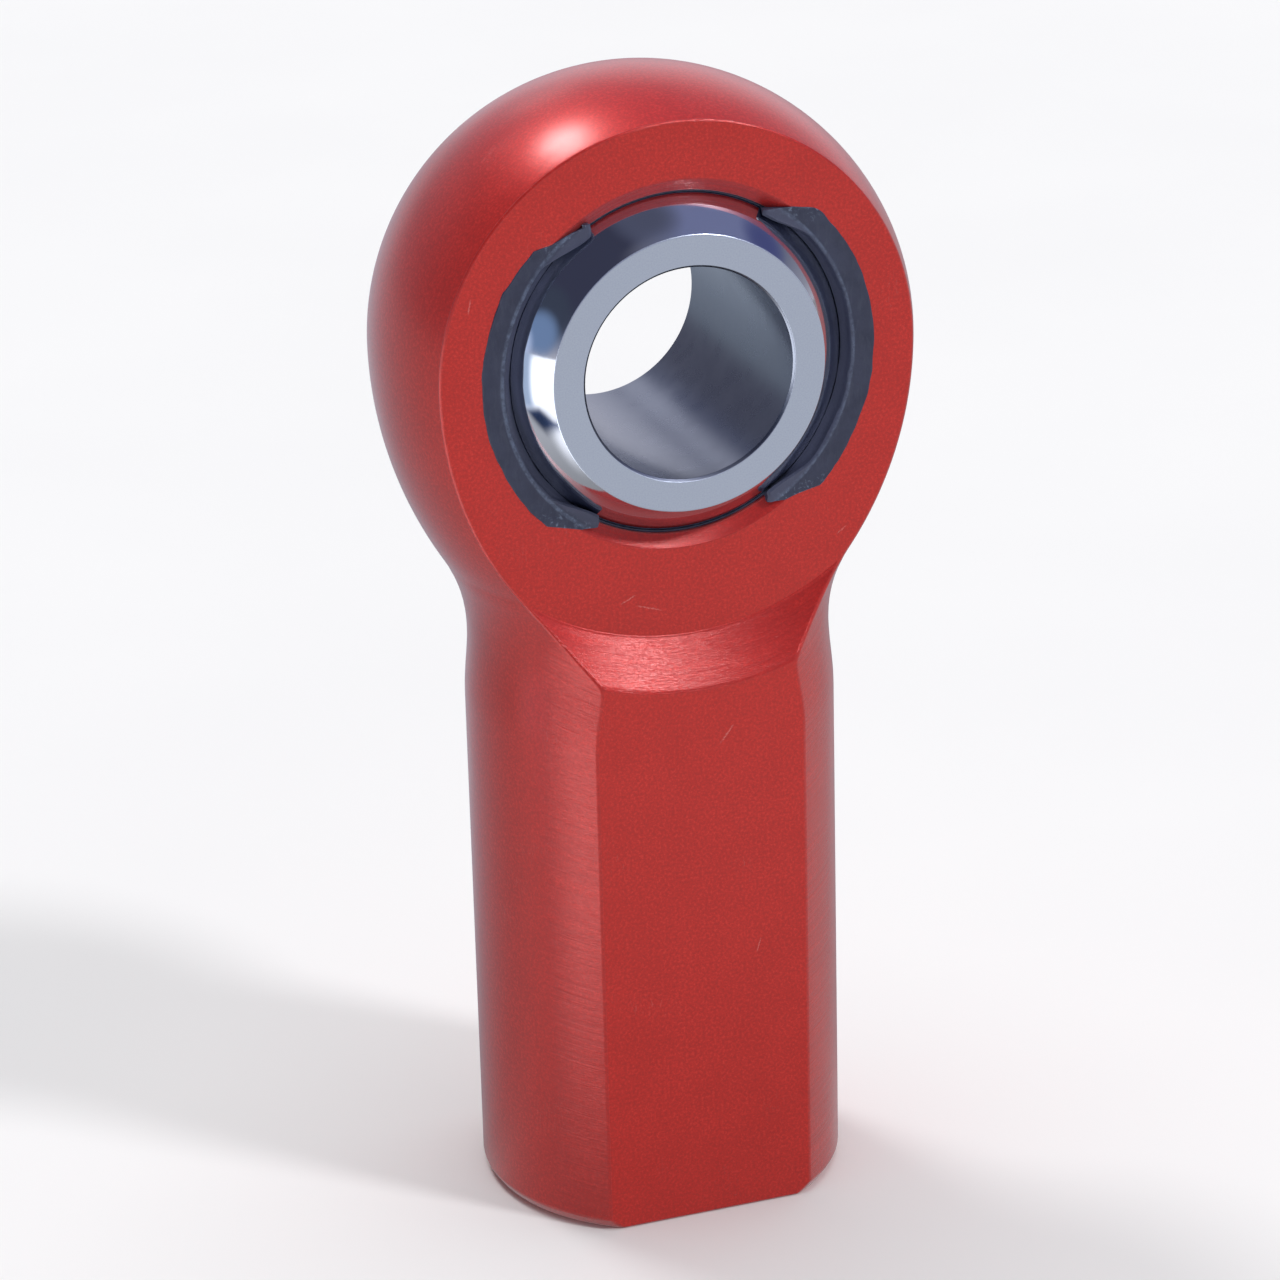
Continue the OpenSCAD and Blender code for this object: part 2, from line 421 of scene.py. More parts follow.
def thread_cutter():
    """The threaded hole as a solid: countersink, helical thread, drilled hole and its point."""
    top = END_Z + THREAD_TURNS * PITCH
    bottom = END_Z - 0.5
    mouth_r = MAJOR_R + 1.4
    # one tooth: share of the pitch, and the radius there
    shares = (0, .25, .5625, .6875, 1.0)
    radii = (MINOR_R, MINOR_R, MAJOR_R, MAJOR_R, MINOR_R)
    turns = []
    for j in range(-2, THREAD_TURNS + 2):
        steps = 4 if j < 2 else 1           # finer where the countersink crosses the thread
        for a, b in zip(shares, shares[1:]):
            turns += [j + a + (b - a) * i / steps for i in range(steps)]
    turns = np.array(turns)

    turn = np.linspace(0, 2 * math.pi, 97)
    z = END_Z + PITCH * (turns[:, None] + turn[None, :] / (2 * math.pi))
    tooth = np.interp(turns % 1.0, shares, radii)[:, None]
    r = MINOR_R + (tooth - MINOR_R) * np.clip((top - z) / PITCH, 0, 1)
    held_z = np.clip(z, bottom, top)
    r = np.maximum(r, MAJOR_R + 0.9 - (held_z - END_Z))
    r = np.where(z <= bottom, mouth_r, r)
    surface = Surface()
    surface.grid(np.stack([r * np.cos(turn), r * np.sin(turn), held_z], 2))

    drill_z = END_Z + DRILL_DEPTH
    tail = ((MINOR_R, top), (MINOR_R, drill_z - 0.5), (MINOR_R, drill_z),
            (0.0, drill_z + MINOR_R * math.tan(DRILL_POINT)))
    surface.grid(np.array([[(rad * math.cos(t), rad * math.sin(t), height) for t in turn]
                           for rad, height in tail]))
    surface.face([(mouth_r * math.cos(t), mouth_r * math.sin(t), bottom) for t in turn[:-1]])
    return as_object(surface.to_bmesh(), "cut_thread")


def make_body():
    bm = body_shell()
    sharp = [e for e in bm.edges
             if len(e.link_faces) == 2 and e.calc_face_angle(0) > math.radians(27)]
    bmesh.ops.bevel(bm, geom=sharp, offset=EDGE_ROUND, offset_type="OFFSET", segments=3,
                    profile=0.5, affect="EDGES", clamp_overlap=False, loop_slide=True)
    bmesh.ops.remove_doubles(bm, verts=bm.verts, dist=1e-4)
    bmesh.ops.recalc_face_normals(bm, faces=bm.faces)
    obj = as_object(bm, "body_finish")
    boolean(obj, room_cutter(), "DIFFERENCE")
    boolean(obj, slot_cutter(-1), "DIFFERENCE")
    boolean(obj, slot_cutter(1), "DIFFERENCE")
    boolean(obj, thread_cutter(), "DIFFERENCE")
    finish_mesh(obj, sharp_deg=34)
    return obj


# ---------------------------------------------------------------- ball


def make_ball():
    """Sphere cut flat at either end, with a bevelled bore."""
    bevel = 0.15
    end_r = math.sqrt(BALL_R ** 2 - BALL_Y ** 2)
    end_angle = math.asin(BALL_Y / BALL_R)
    tangent = (end_r + math.sin(end_angle), BALL_Y - math.cos(end_angle))
    rim = fillet((end_r - 1.5, BALL_Y), (end_r, BALL_Y), tangent, radius=0.16, steps=4)
    start = math.asin(rim[-1][1] / math.hypot(*rim[-1]))
    bore_end, face_start = (BORE_R, BALL_Y - bevel), (BORE_R + bevel, BALL_Y)
    half = fillet((BORE_R, BALL_Y - 2), bore_end, face_start, radius=0.05, steps=2)
    half += fillet(bore_end, face_start, (BORE_R + 1.5, BALL_Y), radius=0.05, steps=2)
    half += [(BORE_R + 0.4, BALL_Y), (end_r - 0.3, BALL_Y)] + rim
    sphere = arc(BALL_R, start, -start, 72)[1:-1]
    bore = [(BORE_R, y) for y in np.linspace(-BALL_Y + 0.6, BALL_Y - 0.6, 12)]
    obj = ring("ball_finish", half + sphere + mirrored(half) + bore, segments=288)
    finish_mesh(obj, sharp_deg=50)
    return obj


# ---------------------------------------------------------------- moulded race


def race_x(y):
    """Inside of the race at y, as a distance from the bore's axis."""
    r = RACE_R + (HUG_R - RACE_R) * smoothstep((abs(y) - 5.9) / 0.26)
    return math.sqrt(r * r - y * y)


def race_lining():
    """The ring between the ball and the body's spherical room."""
    gap, bevel = 0.03, 0.05
    outer_r, outer_x = CAVITY_R - gap, MOUTH_R + 0.01
    edge_x = race_x(RACE_EDGE_Y) + 0.035
    inner = [(race_x(y), y) for y in np.linspace(RACE_EDGE_Y - 0.03, -RACE_EDGE_Y + 0.03, 144)]
    back = [(MOUTH_R - bevel, -RACE_EDGE_Y), (outer_x, -RACE_EDGE_Y + bevel), (outer_x, -LIP_Y + gap)]
    angle = math.asin((LIP_Y - gap) / outer_r)
    loop = [(edge_x, RACE_EDGE_Y)] + inner + [(edge_x, -RACE_EDGE_Y)]
    loop += back + arc(outer_r, -angle, angle, 24) + mirrored(back)
    return ring("lining", loop)


def at_z(r, z, least):
    """Half the chord of a circle of radius r at height z, but never less than least."""
    return math.sqrt(max(least * least, r * r - z * z))


def crescent_section(side, z):
    """Closed loop of (x, y) at height z, from the ball's side over the face to the outer rim
    and back inside the body. x is counted outwards."""
    spec = CRESCENTS[side]

    def nearness(reach):
        """1 at either end of the crescent, 0 beyond reach from it."""
        above, below = spec["top"] - z, z - CRESCENT_BOTTOM
        return max(0.0, 1 - above / reach) + max(0.0, 1 - below / reach)

    def ripple(rate, seed, x=0, y=0):
        seed += spec["seed"]
        return noise.noise(Vector((x * rate + seed * 13.7, y * rate + seed * 5.1,
                                   z * rate - seed * 7.3)))

    tip, near = nearness(1.3), nearness(3.0)
    rim = rim_x(side, z, slow=ripple(rate=0.35, seed=0), quick=ripple(rate=1.3, seed=1))
    rim += near * 0.10 * ripple(rate=2.8, seed=0, x=7) - 0.12 * tip * tip
    face_y = -FACE_Y - 0.085 - 0.035 * ripple(rate=0.4, seed=5, x=1) + 0.05 * tip
    # radius of the ridge beside the ball, and the plane where either end is cut off
    ridge_r = (spec["ridge"] + 0.05 * ripple(rate=0.5, seed=2, x=2)
               + 0.03 * ripple(rate=1.8, seed=2, x=2))
    cut = 5.22 + 0.16 * ripple(rate=2.2, seed=9, y=4)
    # towards the ends the wall leans over the ball
    lean = smoothstep((abs(z) - 6.7) / 1.5)
    dent = 0.05 * ripple(rate=0.6, seed=12, x=4)

    # wall beside the ball: y, upright radius, leaning radius, distance past the cut
    mouth = race_x(6.24)
    wall = (
        (-5.80, race_x(5.80) + 0.08, race_x(5.80) + 0.08, 0.0),
        (-6.05, race_x(6.05) + 0.06, race_x(6.05) + 0.06, 0.02),
        (-6.24, mouth + 0.025, mouth + 0.025, 0.03),
        (-6.30, mouth + 0.075, race_x(6.30) + 0.04, 0.03),
        (-6.42, mouth + 0.19, race_x(6.42) + 0.05, 0.03),
        (-6.56, mouth + 0.31, race_x(6.56) + 0.06, 0.02),
        (-6.72, ridge_r - 0.13, race_x(6.70) + 0.08, 0.0),
        (face_y + 0.055, ridge_r - 0.085, race_x(6.80) + 0.10, 0.0),
    )
    loop = []
    for y, upright, leaning, past in wall:
        r = upright + (leaning - upright) * lean + (dent * (1 - lean) if y < -6.2 else 0.0)
        loop.append((at_z(r, z, cut + past), y))
    root_x, second_x, wall_x = loop[0][0], loop[1][0], loop[-1][0]

    # ridge
    r = ridge_r + (race_x(6.80) + 0.22 - ridge_r) * lean
    ridge_x = max(at_z(r, z, cut + 0.14), wall_x + 0.08)
    rim = max(rim, ridge_x + 0.34)
    rise = 0.05 + 0.05 * ripple(rate=0.9, seed=3, x=3)
    loop += [(ridge_x - 0.045, face_y + 0.005), (ridge_x, face_y - rise * 0.7),
             (ridge_x + 0.08, face_y - rise), (ridge_x + 0.20, face_y - rise * 0.5)]

    # slightly hollow face
    steps = 8
    for k in range(1, steps):
        t = k / steps
        x = ridge_x + 0.2 + (rim - 0.10 - ridge_x - 0.2) * t
        dip = 0.03 * math.sin(math.pi * t) + 0.020 * ripple(rate=0.9, seed=6, x=x)
        dip += near * 0.05 * ripple(rate=1.9, seed=8, x=x, y=3)
        loop.append((x, face_y + dip))

    # rounded rim, then back inside the body
    edge = 0.02 * ripple(rate=1.7, seed=4, x=5)
    loop += [(rim - 0.09, face_y + 0.015 + edge * 0.3), (rim - 0.035, face_y + 0.035),
             (rim, face_y + 0.08), (rim + 0.004, -FACE_Y + 0.03)]
    inner_x = max(min(rim - 0.35, at_z(11.6, z, 2.0)), second_x + 0.25)
    loop += [(inner_x, -FACE_Y + 0.34), (max(inner_x, root_x + 0.35), -5.85)]
    return loop


def crescent(side):
    """One of the two front mouldings, stacked from sections that crowd towards its ends."""
    top, cap = CRESCENTS[side]["top"], 0.6
    crowd = (1 - np.cos(np.linspace(0, math.pi / 2, 17)))[:-1] * cap
    heights = np.concatenate([CRESCENT_BOTTOM + crowd,
                              np.linspace(CRESCENT_BOTTOM + cap, top - cap, 150),
                              top - crowd[::-1]])
    sections = np.array([[(side * x, y, z) for x, y in crescent_section(side, z)]
                         for z in heights])
    surface = Surface()
    surface.grid(sections, close=True)
    surface.face(sections[0])
    surface.face(sections[-1])
    return as_object(surface.to_bmesh(), "crescent")


def make_race():
    obj = race_lining()
    boolean(obj, crescent(-1), "UNION")
    boolean(obj, crescent(1), "UNION")
    obj.name = "race_finish"
    finish_mesh(obj, sharp_deg=40)
    return obj


# ---------------------------------------------------------------- shader helpers


class Signal:
    """A node's output that can be used in sums like a number."""

    def __init__(self, shader, socket):
        self.shader, self.socket = shader, socket

    def __add__(self, other):
        return self.shader.math("ADD", self, other)

    def __radd__(self, other):
        return self.shader.math("ADD", other, self)

    def __sub__(self, other):
        return self.shader.math("SUBTRACT", self, other)

    def __rsub__(self, other):
        return self.shader.math("SUBTRACT", other, self)

    def __mul__(self, other):
        return self.shader.math("MULTIPLY", self, other)

    def __abs__(self):
        return self.shader.math("ABSOLUTE", self)

    def sibling(self, output):
        """Another output of the same node."""
        return Signal(self.shader, self.socket.node.outputs[output])

    def ramp(self, between, to=(0.0, 1.0), interpolation="LINEAR"):
        """Maps one range of values to another and holds the ends."""
        return self.shader.node("ShaderNodeMapRange", {
            "Value": self, "From Min": between[0], "From Max": between[1],
            "To Min": to[0], "To Max": to[1]}, interpolation_type=interpolation)

    def ease(self, between, to=(0.0, 1.0)):
        """A ramp with soft ends."""
        return self.ramp(between, to, "SMOOTHSTEP")


class Shader:
    """The emptied node tree of a material or world, with short ways to add nodes."""

    def __init__(self, owner):
        owner.use_nodes = True
        self.owner, self.tree = owner, owner.node_tree
        self.tree.nodes.clear()

    def put(self, socket, value):
        """Links a signal, or sets a value; colours may leave out their alpha."""
        if isinstance(value, Signal):
            self.tree.links.new(value.socket, socket)
        elif socket.type == "RGBA" and len(value) == 3:
            socket.default_value = (*value, 1.0)
        else:
            socket.default_value = value

    def node(self, kind, inputs=(), output=0, **settings):
        node = self.tree.nodes.new(kind)
        for key, value in settings.items():
            setattr(node, key, value)
        for key, value in dict(inputs).items():
            self.put(node.inputs[key], value)
        return Signal(self, node.outputs[output])

    def surface(self, shader, kind="ShaderNodeOutputMaterial"):
        self.put(self.tree.nodes.new(kind).inputs[0], shader)
        return self.owner

    def principled(self, inputs):
        return self.node("ShaderNodeBsdfPrincipled", inputs)

    def millimetres(self):
        coords = self.node("ShaderNodeTexCoord", output="Object")
        return self.node("ShaderNodeVectorMath", {0: coords, "Scale": 1000.0}, operation="SCALE")

    def axes(self, vector):
        x = self.node("ShaderNodeSeparateXYZ", {0: vector})
        return x, x.sibling(1), x.sibling(2)

    def math(self, operation, a, b=0.0, clamp=False):
        return self.node("ShaderNodeMath", {0: a, 1: b}, operation=operation, use_clamp=clamp)

    def length(self, a, b):
        return self.math("SQRT", a * a + b * b)

    def noise(self, at, scale, detail, rough, distortion=0.0):
        """Noise at a vector or at a tuple of three coordinates."""
        if isinstance(at, tuple):
            at = self.node("ShaderNodeCombineXYZ", enumerate(at))
        return self.node("ShaderNodeTexNoise", {
            "Vector": at, "Scale": scale, "Detail": detail, "Roughness": rough,
            "Distortion": distortion}, output="Fac")

    def mix(self, amount, under, over):
        """Lays the colour over on the colour under."""
        return self.node("ShaderNodeMix", {0: amount, 6: under, 7: over}, output=2,
                         data_type="RGBA")

    def bump(self, height, strength, distance):
        return self.node("ShaderNodeBump", {
            "Strength": strength, "Distance": distance, "Height": height})

    def dot(self, a, b):
        return self.node("ShaderNodeVectorMath", {0: a, 1: b}, "Value", operation="DOT_PRODUCT")

    def edge_mask(self, radius_mm, between):
        """1 near a convex or concave edge, 0 on open surfaces."""
        rounded = self.node("ShaderNodeBevel", {"Radius": radius_mm * 0.001}, samples=4)
        normal = self.node("ShaderNodeNewGeometry", output="Normal")
        return (1.0 - self.dot(rounded, normal)).ramp(between)


def material(name):
    return Shader(bpy.data.materials.new(name))


# ---------------------------------------------------------------- materials

# small nicks on the front: centre x, z; direction x, z; half length; half width (mm)
NICKS = [
    (1.6, -22.4, 0.62, 0.78, 0.75, 0.07), (-3.6, -13.9, 0.90, 0.44, 0.55, 0.06),
    (-2.3, -14.6, 0.95, -0.31, 0.9, 0.05), (3.4, -36.5, 0.30, 0.95, 0.5, 0.05),
    (9.9, -11.5, 0.80, 0.60, 0.4, 0.05), (-12.6, 5.2, 0.2, 0.98, 0.5, 0.05),
]


def anodised():
    """Red anodised aluminium with turning lines, worn edges with a painted edge highlight, scratches
    and nicks.
    """
    m = material("red_anodised_aluminium")
    mm = m.millimetres()
    x, y, z = m.axes(mm)
    normal_y = m.axes(m.node("ShaderNodeTexCoord", output="Normal"))[1]
    flat = abs(normal_y).ramp(between=(0.985, 0.998))          # faces that look along Y
    turned = 1.0 - flat
    grain = m.noise(mm, scale=9.0, detail=3.0, rough=0.6)
    micro = m.noise(mm, scale=26.0, detail=2.0, rough=0.6)
    blotch = m.noise(mm, scale=0.35, detail=3.0, rough=0.5)
    speck = m.noise(mm, scale=5.5, detail=3.0, rough=0.7)
    around = m.math("ARCTAN2", y, x)
    lines = m.noise((around * 3.0, z * 6.0, 0.0), scale=1.0, detail=3.0, rough=0.65)

    # scattered upright scratches
    streak = m.noise((x * 2.2, y * 2.2, z * 0.22), scale=2.4, detail=1.0, rough=0.4,
                     distortion=0.6)
    scratch = abs(streak - 0.5).ramp(between=(0.0, 0.006), to=(1, 0))
    scratch *= m.noise(mm, scale=0.22, detail=1.0, rough=0.5).ramp(between=(0.60, 0.68))

    # edges lightened, partly by real wear and partly as a painted edge highlight, except at the
    # shank's end
    wear_and_edge_highlight = m.edge_mask(radius_mm=0.20, between=(0.015, 0.22))
    wear_and_edge_highlight *= m.noise(mm, scale=1.6, detail=2.0, rough=0.6).ramp(between=(0.35, 0.75), to=(0.35, 1.0))
    wear_and_edge_highlight *= z.ramp(between=(END_Z + 0.8, END_Z + 2.6))

    # machining marks on the shoulder cone, by distance and angle about the bore's axis
    slant = abs(normal_y)
    conical = slant.ramp(between=(0.52, 0.62)) * slant.ramp(between=(0.955, 0.98), to=(1, 0))
    marks = m.noise((m.length(x, z) * 4.2, m.math("ARCTAN2", z, x) * 2.4, 0.0),
                    scale=1.0, detail=5.0, rough=0.75)

    base = m.mix(blotch.ramp(between=(0.35, 0.65)), (0.680, 0.0125, 0.0050), (0.725, 0.0160, 0.0075))
    dark_specks = speck.ramp(between=(0.44, 0.62), to=(0, 0.55))
    base = m.mix(dark_specks, base, (0.47, 0.009, 0.005))
    light_specks = speck.ramp(between=(0.44, 0.36), to=(0, 0.22))
    base = m.mix(light_specks, base, (1.0, 0.07, 0.05))
    dark_marks = conical * marks.ramp(between=(0.40, 0.62), to=(0.55, 0.0))
    base = m.mix(dark_marks, base, (0.50, 0.009, 0.006))
    front = y.ramp(between=(-6.0, -6.5))
    for nick_x, nick_z, dir_x, dir_z, reach, width in NICKS:
        along = (x - nick_x) * dir_x + (z - nick_z) * dir_z
        across = (x - nick_x) * dir_z - (z - nick_z) * dir_x
        across += (speck - 0.5) * 0.22                          # ragged sides
        nick = (abs(along).ramp(between=(reach * 0.5, reach), to=(1, 0))
                * abs(across).ramp(between=(width * 0.4, width), to=(1, 0)))
        nick = nick * front * grain.ramp(between=(0.40, 0.55), to=(0.25, 1.0))
        base = m.mix(nick * 0.36, base, (1.0, 0.42, 0.38))
    # lighter edges: partly wear, partly a painted edge highlight
    base = m.mix(wear_and_edge_highlight * 0.80, base, (0.95, 0.36, 0.32))
    base = m.mix(scratch * 0.35, base, (0.62, 0.20, 0.18))

    rough = (blotch.ramp(between=(0.3, 0.7), to=(0.39, 0.44))
             + grain.ramp(between=(0.3, 0.7), to=(-0.03, 0.04)) + flat * 0.05)
    height = (grain * 0.55 + micro * 0.35 + lines * turned * 0.28 - scratch * 0.5
              + marks * conical * 9.0)
    bump = m.bump(height, strength=0.5, distance=0.000010)
    return m.surface(m.principled({
        "Base Color": base, "Metallic": 0.42, "Roughness": rough, "Specular IOR Level": 0.3,
        "Coat Weight": 1.0, "Coat IOR": 1.54, "Coat Roughness": 0.25,
        "Sheen Weight": turned * 0.26, "Sheen Roughness": 0.45, "Sheen Tint": (0.86, 0.90, 1.0),
        "Normal": bump, "Coat Normal": bump}))


def chromed():
    """Polished sphere, ground end faces and a honed bore."""
    m = material("chromed_steel")
    mm = m.millimetres()
    x, y, z = m.axes(mm)
    radius = m.length(x, z)
    out = abs(y)
    end = (out.ramp(between=(BALL_Y - 0.06, BALL_Y - 0.01))
           * radius.ramp(between=(BORE_R + 0.02, BORE_R + 0.1)))
    bore = (radius.ramp(between=(BORE_R + 0.19, BORE_R + 0.16))
            * out.ramp(between=(BALL_Y - 0.01, BALL_Y - 0.03)))
    sphere = m.math("SUBTRACT", 1.0, m.math("MAXIMUM", end, bore), clamp=True)
    around = m.math("ARCTAN2", z, x)
    rings = m.noise((radius * 14.0, around * 1.4, 0.0), scale=1.0, detail=3.0, rough=0.7)
    grain = m.noise(mm, scale=11.0, detail=3.0, rough=0.65)
    honing = m.noise((around * 2.0, y * 12.0, 0.0), scale=1.0, detail=3.0, rough=0.7)
    cloud = m.noise(mm, scale=0.55, detail=3.0, rough=0.55)

    end_tone = m.mix(grain.ramp(between=(0.35, 0.65)), (0.68, 0.76, 0.94), (0.76, 0.85, 1.0))
    bore_tone = m.mix(cloud.ramp(between=(0.35, 0.65)), (0.32, 0.355, 0.44), (0.36, 0.395, 0.48))
    tone = m.mix(end, (0.66, 0.70, 0.79), end_tone)
    tone = m.mix(bore, tone, bore_tone)
    edge = m.edge_mask(radius_mm=0.10, between=(0.02, 0.3))
    tone = m.mix(edge * 0.35, tone, (0.80, 0.84, 0.90))
    rough = (end * grain.ramp(between=(0.3, 0.7), to=(0.34, 0.44))
             + bore * cloud.ramp(between=(0.3, 0.7), to=(0.25, 0.32))
             + sphere * cloud.ramp(between=(0.3, 0.7), to=(0.05, 0.09)))
    height = (end * (rings * 0.8 + grain * 0.5) + bore * (honing * 0.16 + grain * 0.20)
              + sphere * (cloud * 0.35))
    return m.surface(m.principled({
        "Base Color": tone, "Metallic": 1.0, "Roughness": rough,
        "Normal": m.bump(height, strength=0.45, distance=0.000006)}))


def nylon():
    """Dark moulded nylon, paler where it is scuffed."""
    m = material("filled_nylon")
    mm = m.millimetres()
    x, y, z = m.axes(mm)
    grain = m.noise(mm, scale=6.5, detail=4.0, rough=0.65)
    cloud = m.noise(mm, scale=0.8, detail=3.0, rough=0.55)
    flow = m.noise((x * 2.5, y * 2.5, z * 0.7), scale=1.2, detail=3.0, rough=0.6, distortion=0.8)
    scuff = m.noise(mm, scale=3.2, detail=4.0, rough=0.7, distortion=0.4)
    edge = m.edge_mask(radius_mm=0.14, between=(0.02, 0.4))
    base = m.mix(cloud.ramp(between=(0.3, 0.7)), (0.028, 0.035, 0.074), (0.041, 0.050, 0.098))
    base = m.mix(flow.ramp(between=(0.5, 0.75), to=(0, 0.35)), base, (0.07, 0.085, 0.13))
    scuffed_edge = edge * scuff.ramp(between=(0.42, 0.62), to=(0.15, 0.85))
    base = m.mix(scuffed_edge, base, (0.17, 0.22, 0.31))

    # front faces of the crescents: the line of the ridge, then the upper and lower ends
    radius = m.length(x, z)
    face = radius.ramp(between=(10.22, 10.4)) * y.ramp(between=(-6.75, -6.85))
    ends = abs(z).ramp(between=(7.4, 8.7)) * face
    ridge_r = 10.71 + x.ramp(between=(-1, 1), to=(1, -1)) * 0.09
    line = abs(radius - (ridge_r + 0.06)).ease(between=(0.05, 0.17), to=(1, 0)) * face
    scuffed_line = line * scuff.ramp(between=(0.38, 0.60), to=(0.15, 0.75))
    base = m.mix(scuffed_line, base, (0.13, 0.17, 0.27))
    scuffed_ends = ends * scuff.ramp(between=(0.56, 0.66), to=(0, 0.8))
    base = m.mix(scuffed_ends, base, (0.20, 0.26, 0.38))
    # painted light: the wall beside the ball is lightened where it lies in shade
    inner = radius.ramp(between=(10.78, 10.55)) * y.ramp(between=(-6.1, -6.3))
    base = m.mix(inner * 0.75, base, (0.075, 0.085, 0.150))
    return m.surface(m.principled({
        "Base Color": base, "Metallic": 0.0, "IOR": 1.53,
        "Roughness": grain.ramp(between=(0.3, 0.7), to=(0.42, 0.58)),
        "Normal": m.bump(grain * 0.7 + flow * 0.8, strength=0.6, distance=0.00003)}))


def grease():
    m = material("grease_film")
    cloud = m.noise(m.millimetres(), scale=1.5, detail=3.0, rough=0.6)
    return m.surface(m.principled({
        "Base Color": m.mix(cloud.ramp(between=(0.3, 0.7)), (0.20, 0.15, 0.07), (0.30, 0.24, 0.12)),
        "Roughness": cloud.ramp(between=(0.3, 0.7), to=(0.12, 0.3)),
        "Transmission Weight": 0.6, "IOR": 1.47,
        "Normal": m.bump(cloud, strength=0.3, distance=0.000004)}))


def floor_material():
    """Pale paper. Reflections see it glow with painted light, uneven and brightest to the left of the
    part.
    """
    m = material("pale_floor")
    mm = m.millimetres()
    x, y, _ = m.axes(mm)
    cloud = m.noise(mm, scale=0.02, detail=3.0, rough=0.5)
    paper = m.principled({
        "Base Color": m.mix(cloud.ramp(between=(0.3, 0.7)), (0.86, 0.86, 0.865), (0.88, 0.88, 0.882)),
        "Roughness": 0.9, "Specular IOR Level": 0.1})

    # distance from the part in mm, and degrees from the front, positive towards +X
    radius = m.length(x, y)
    angle = m.math("ARCTAN2", x, y * -1.0) * (180 / math.pi)

    def sector(left_deg, between):
        """1 along a direction to the left of the front, fading over degrees to its sides."""
        return abs(angle + left_deg).ease(between, to=(1, 0))

    # painted shadow: in reflections the floor is darker close to the part
    near = radius.ease(between=(12, 75), to=(0.66, 1.0))
    close = sector(left_deg=56, between=(5, 24)) * (
        radius.ease(between=(24, 62)) * radius.ease(between=(110, 150), to=(1, 0.3)))
    wide = sector(left_deg=80, between=(10, 26)) * radius.ease(between=(90, 140))
    left = close * 1.25 + wide
    aside = abs(angle).ease(between=(92, 114))
    behind = abs(angle).ease(between=(146, 178))
    far = radius.ease(between=(500, 1600), to=(1.0, 0.75))
    level = (near * (0.545 - aside * 0.22 + behind * 0.20) + left * 1.50) * far
    # painted reflection: a steel-blue band glows on the floor to the left
    steel = sector(left_deg=90, between=(5, 10)) * radius.ease(between=(95, 125))
    level = level * (1.0 - steel) + steel

    # painted shade in reflections: a dark, slightly turned patch on the left, centred on x -90, y -17
    patch_x, patch_y = x + 90.0, y + 17.0
    along = patch_x * 0.46 - patch_y * 0.11
    across = patch_x * 0.24 + patch_y * 0.97
    shade = m.math("MAXIMUM", abs(along), abs(across)).ease(between=(4.5, 13), to=(1, 0))

    tint = m.mix(abs(angle).ease(between=(105, 160)), (0.99, 0.985, 1.0), (0.80, 0.89, 1.02))
    colour = m.mix(shade, m.mix(steel, tint, (0.50, 0.60, 0.76)), (0.045, 0.075, 0.17))
    # painted light: the floor glows like a lamp, but only for reflections
    glow = m.node("ShaderNodeEmission", {0: colour, 1: level})
    reflected = m.node("ShaderNodeLightPath", output="Is Glossy Ray")
    return m.surface(m.node("ShaderNodeMixShader", {0: reflected, 1: paper, 2: glow}))


# ---------------------------------------------------------------- pieces

body = make_body()
ball = make_ball()
race = make_race()
for obj, finish in ((body, anodised()), (ball, chromed()), (race, nylon())):
    obj.data.materials.clear()
    obj.data.materials.append(finish)
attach(body, "housing")
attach(race, "housing")
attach(ball, "ball")
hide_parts("rod_body")
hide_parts("swivel_ball")
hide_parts("moulded_race")
film = grease()
for name in ("grease_film_outer", "grease_film_inner"):
    materials = frame["nodes"][name].data.materials
    materials.clear()
    materials.append(film)

# ---------------------------------------------------------------- floor and lights

FLOOR_HALF = 3.0                                # metres
FLOOR_Z = END_Z * 0.001 - 0.00002               # just below the shank's end

floor_mesh = bpy.data.meshes.new("floor")
corners = ((-1, -1), (1, -1), (1, 1), (-1, 1))
floor_mesh.from_pydata([(x * FLOOR_HALF, y * FLOOR_HALF, FLOOR_Z) for x, y in corners],
                       [], [(0, 1, 2, 3)])
floor = bpy.data.objects.new("floor", floor_mesh)
bpy.context.scene.collection.objects.link(floor)
floor.data.materials.append(floor_material())


def direction(azimuth, elevation):
    """Unit vector from degrees; azimuth 0 is -Y and grows towards +X."""
    a, e = math.radians(azimuth), math.radians(elevation)
    return Vector((math.sin(a) * math.cos(e), -math.cos(a) * math.cos(e), math.sin(e)))


def sun(name, azimuth, elevation, width, radiance, color=(1, 1, 1), glossy=True):
    """A distant round softbox, width degrees across, stated by the radiance it shows."""
    light = bpy.data.lights.new(name, "SUN")
    light.angle = math.radians(width)
    light.energy = radiance * 2 * math.pi * (1 - math.cos(math.radians(width / 2)))
    light.color = color
    towards = direction(azimuth, elevation)
    obj = bpy.data.objects.new(name, light)
    obj.rotation_mode = "QUATERNION"
    obj.rotation_quaternion = (-towards).to_track_quat("-Z", "Y")
    obj.location = towards * 0.5
    obj.visible_glossy = glossy
    bpy.context.scene.collection.objects.link(obj)


sun("key_softbox", azimuth=-156, elevation=60, width=13, radiance=18.5, color=(1.0, 0.985, 0.985))
sun("front_softbox", azimuth=44, elevation=44, width=8, radiance=64.0, color=(1.0, 0.99, 1.0))
sun("side_fill", azimuth=120, elevation=35, width=50, radiance=0.2, glossy=False)
sun("overhead", azimuth=180, elevation=84, width=50, radiance=1.8, glossy=False)

# ---------------------------------------------------------------- world

# sine of the elevation, colour
ROOM = [
    (0.0, (0.52, 0.51, 0.56, 1)), (0.10, (0.34, 0.335, 0.385, 1)), (0.35, (0.16, 0.17, 0.24, 1)),
    (0.75, (0.14, 0.15, 0.24, 1)), (1.0, (0.24, 0.26, 0.38, 1)),
]
